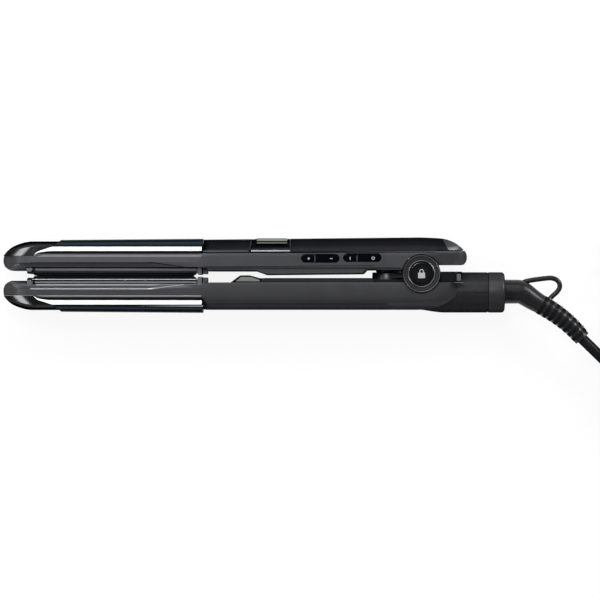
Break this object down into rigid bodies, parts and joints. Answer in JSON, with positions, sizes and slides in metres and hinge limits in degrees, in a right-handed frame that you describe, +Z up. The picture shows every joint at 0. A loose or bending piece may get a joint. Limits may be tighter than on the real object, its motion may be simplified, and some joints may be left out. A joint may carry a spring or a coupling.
{
  "type": "hair crimper",
  "caption": "Two-arm hair crimper on its side: slim graphite arms with gloss covers, chrome strips, waved hot plates, display, keys, hinge lock, swivel cord exit, loop, coiled cord and plug.",
  "frame": {"origin": "on the hinge axis, at the flat back of the hinge that the iron rests on when it lies on its side", "axes": "+X runs along the arms to the cord, -X to the tips; +Y points to the arm with the display; +Z runs up along the hinge axis to the lock button"},
  "size_m": [0.4425, 0.1064, 0.0352],
  "materials": {
    "graphite_shell": "fine satin moulding",
    "dark_inner": "matt moulding",
    "gloss_black": "polished",
    "grey_trim": "satin moulding",
    "chrome": "bright plating",
    "steel": "plain",
    "coated_plate": "ceramic coating, satin",
    "ceramic": "plain ceramic",
    "silicone": "soft",
    "brass": "plain",
    "circuit_board": "solder mask",
    "lcd_glass": "clear window over a pale green display",
    "key_black": "polished",
    "soft_black": "satin",
    "plug_black": "satin moulding"
  },
  "bodies": {
    "lower_arm": {"lower_arm_shell": "graphite_shell", "lower_front_cover": "gloss_black", "lower_trim": "chrome", "lower_tip_cap": "gloss_black", "lower_inner_cover": "dark_inner", "lower_bump_stop": "grey_trim", "lower_plate_carrier": "grey_trim", "lower_end_blocks": "grey_trim", "lower_pads": "silicone", "thermal_fuse": "steel", "power_board": "circuit_board", "lower_wires": "silicone", "lower_screws": "steel", "hinge_stop": "dark_inner", "hinge_bezel": "grey_trim", "back_hinge_cap": "dark_inner", "hinge_pin": "steel", "opening_spring": "steel", "lock_spring": "steel", "tail_housing_top": "graphite_shell", "tail_housing_bottom": "graphite_shell", "swivel_collar": "grey_trim", "swivel_brushes": "brass", "cord_lead": "soft_black", "cord_coil": "soft_black", "cord_tail": "soft_black", "cord_tie": "soft_black", "plug_body": "plug_black", "plug_pins": "brass"},
    "upper_arm": {"upper_arm_frame": "graphite_shell", "upper_front_cover": "gloss_black", "upper_trim": "chrome", "upper_tip_cap": "gloss_black", "upper_handle_cover": "graphite_shell", "display_bezel": "gloss_black", "display_window": "lcd_glass", "lcd_panel": "grey_trim", "display_trim": "chrome", "control_board": "circuit_board", "key_bezel": "graphite_shell", "upper_inner_cover": "dark_inner", "upper_plate_carrier": "grey_trim", "upper_end_blocks": "grey_trim", "upper_pads": "silicone", "upper_wires": "silicone", "upper_screws": "steel", "hinge_knuckle": "steel"},
    "upper_plate_set": {"upper_plate": "coated_plate", "upper_heater": "ceramic"},
    "lower_plate_set": {"lower_plate": "coated_plate", "lower_heater": "ceramic"},
    "lock_button": {"lock_button": "gloss_black"},
    "key_plus": {"key_plus": "key_black"},
    "key_minus": {"key_minus": "key_black"},
    "key_on": {"key_on": "key_black"},
    "key_off": {"key_off": "key_black"},
    "swivel": {"swivel_barrel": "dark_inner", "contact_rings": "brass", "strain_relief": "soft_black", "hanging_loop": "soft_black"}
  },
  "joints": [
    {"name": "main_hinge", "type": "hinge", "parent": "lower_arm", "child": "upper_arm", "pos_m": [0, 0, 0.017], "axis": [0, 0, -1], "range_deg": [0, 9.5], "stiffness_Nm_per_rad": 0.05, "springref_deg": 9.5},
    {"name": "lock_button_press", "type": "slide", "parent": "lower_arm", "child": "lock_button", "axis": [0, 0, -1], "range_m": [0, 0.0015], "stiffness_N_per_m": 800, "deforming": ["lock_spring"]},
    {"name": "key_plus_press", "type": "slide", "parent": "upper_arm", "child": "key_plus", "axis": [0, 0, -1], "range_m": [0, 0.0005], "stiffness_N_per_m": 500},
    {"name": "key_minus_press", "type": "slide", "parent": "upper_arm", "child": "key_minus", "axis": [0, 0, -1], "range_m": [0, 0.0005], "stiffness_N_per_m": 500},
    {"name": "key_on_press", "type": "slide", "parent": "upper_arm", "child": "key_on", "axis": [0, 0, -1], "range_m": [0, 0.0005], "stiffness_N_per_m": 500},
    {"name": "key_off_press", "type": "slide", "parent": "upper_arm", "child": "key_off", "axis": [0, 0, -1], "range_m": [0, 0.0005], "stiffness_N_per_m": 500},
    {"name": "upper_plate_float", "type": "slide", "parent": "upper_arm", "child": "upper_plate_set", "axis": [0, 1, 0], "range_m": [0, 0.0006], "stiffness_N_per_m": 4000},
    {"name": "lower_plate_float", "type": "slide", "parent": "lower_arm", "child": "lower_plate_set", "axis": [0, -1, 0], "range_m": [0, 0.0006], "stiffness_N_per_m": 4000},
    {"name": "cord_swivel", "type": "hinge", "parent": "lower_arm", "child": "swivel", "pos_m": [0.045, -0.0107, 0.017], "axis": [1, 0, 0], "continuous": true}
  ]
}
